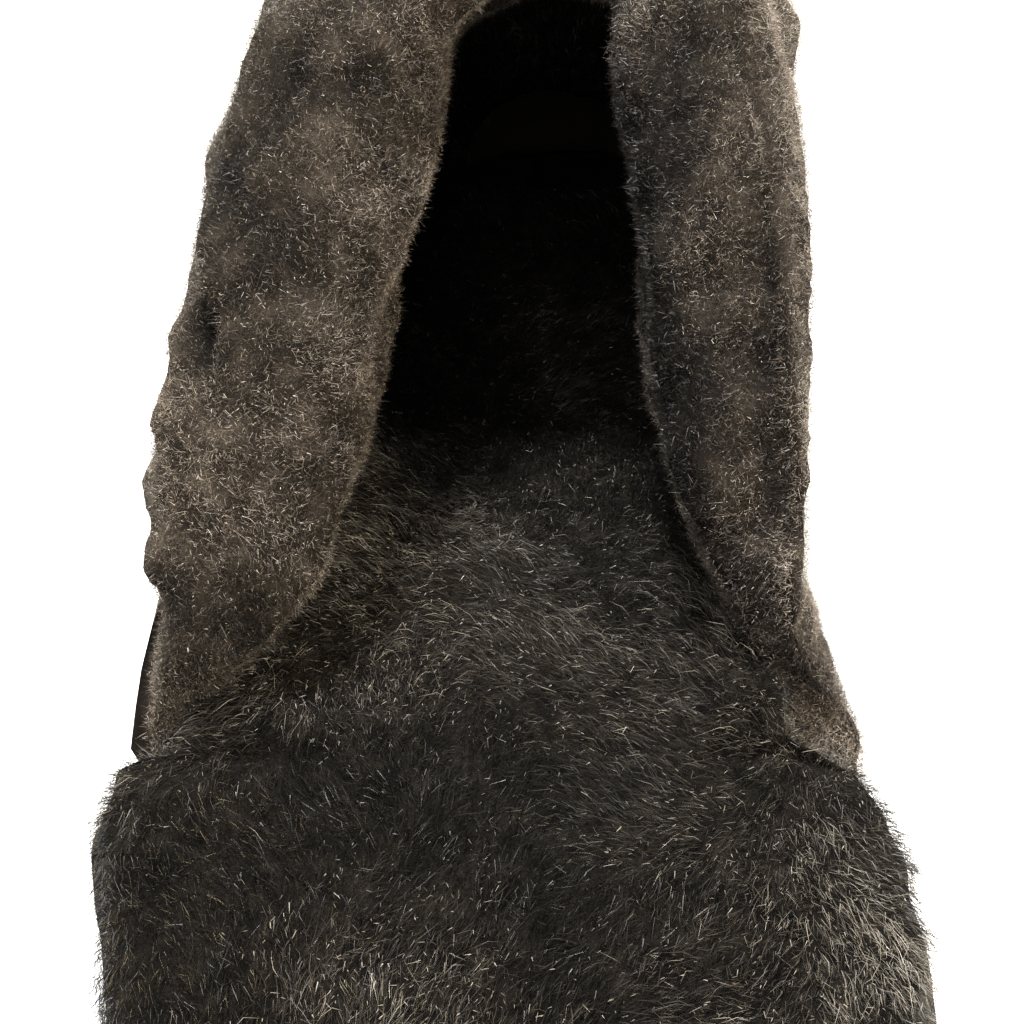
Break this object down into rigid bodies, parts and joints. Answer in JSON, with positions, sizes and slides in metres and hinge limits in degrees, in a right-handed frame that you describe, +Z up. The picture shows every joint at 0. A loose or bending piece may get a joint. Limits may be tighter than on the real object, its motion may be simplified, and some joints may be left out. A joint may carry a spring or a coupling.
{
  "type": "sheepskin mule slipper",
  "caption": "Open-back sheepskin slipper for the left foot: suede upper with a deep wool cuff, wool footbed and a low rubber sole.",
  "frame": {"origin": "middle of the slipper's box, on the floor", "axes": "+Y from heel to toe, +X to the inner side of the left foot, +Z up"},
  "size_m": [0.103, 0.2856, 0.104],
  "materials": {
    "sole_rubber": "matt, fine texture",
    "footbed_wool": "long swirled pile",
    "suede": "napped, no gloss",
    "cuff_wool": "short dense pile"
  },
  "bodies": {
    "root": {"outsole": "sole_rubber", "insole": "footbed_wool", "upper": "suede", "cuff": "cuff_wool"}
  },
  "joints": []
}
